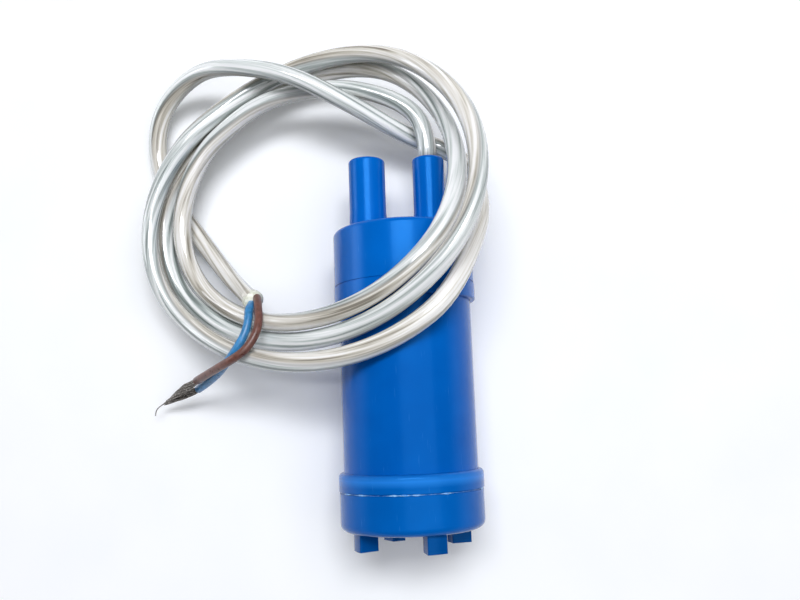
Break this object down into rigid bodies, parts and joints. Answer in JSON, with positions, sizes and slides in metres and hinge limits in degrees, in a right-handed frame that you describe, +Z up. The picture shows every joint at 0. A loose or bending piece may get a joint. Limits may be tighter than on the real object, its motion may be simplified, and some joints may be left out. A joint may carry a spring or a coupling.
{
  "type": "submersible water pump",
  "caption": "Slim cylindrical submersible water pump with a hose stem and a coiled clear twin-core cable.",
  "frame": {"origin": "on the surface that the pump lies on, under the middle of its length, cable left out", "axes": "+Y along the pump's axis from the feet to the stems, +Z up from the surface"},
  "size_m": [0.0996, 0.1397, 0.048],
  "materials": {
    "blue_plastic": "smooth moulded",
    "grey_plastic": "moulded",
    "white_plastic": "moulded",
    "rubber": "matte",
    "steel": "plated",
    "bronze": "sintered",
    "brass": "stamped",
    "copper": "enamelled wire",
    "ferrite": "pressed and sintered",
    "clear_sheath": "soft glossy",
    "blue_wire": "soft",
    "brown_wire": "soft",
    "tinned_copper": "stranded"
  },
  "bodies": {
    "root": {"base_cap": "blue_plastic", "motor_housing": "blue_plastic", "head_cover": "blue_plastic", "seal_plate": "grey_plastic", "lower_sealing_ring": "rubber", "upper_sealing_ring": "rubber", "shaft_seal": "rubber", "motor_capsule": "grey_plastic", "capsule_plug": "grey_plastic", "motor_can": "steel", "front_bush": "bronze", "rear_bush": "bronze", "upper_magnet": "ferrite", "lower_magnet": "ferrite", "magnet_clips": "steel", "motor_end_bell": "grey_plastic", "motor_terminals": "brass", "carbon_brushes": "ferrite", "brush_arms": "bronze", "inner_sheath": "clear_sheath", "inner_blue_wire": "blue_wire", "inner_brown_wire": "brown_wire", "gland_sleeve": "rubber", "cable_lead": "clear_sheath", "cable_coil": "clear_sheath", "cable_tail": "clear_sheath", "blue_core": "blue_wire", "brown_core": "brown_wire", "bare_strands": "tinned_copper"},
    "rotor": {"rotor_shaft": "steel", "armature_core": "steel", "armature_windings": "copper", "commutator": "copper", "thrust_washers": "white_plastic", "impeller": "white_plastic"}
  },
  "joints": [
    {"name": "rotor_spin", "type": "hinge", "parent": "root", "child": "rotor", "pos_m": [0, 0, 0.019], "axis": [0, 1, 0], "continuous": true}
  ]
}
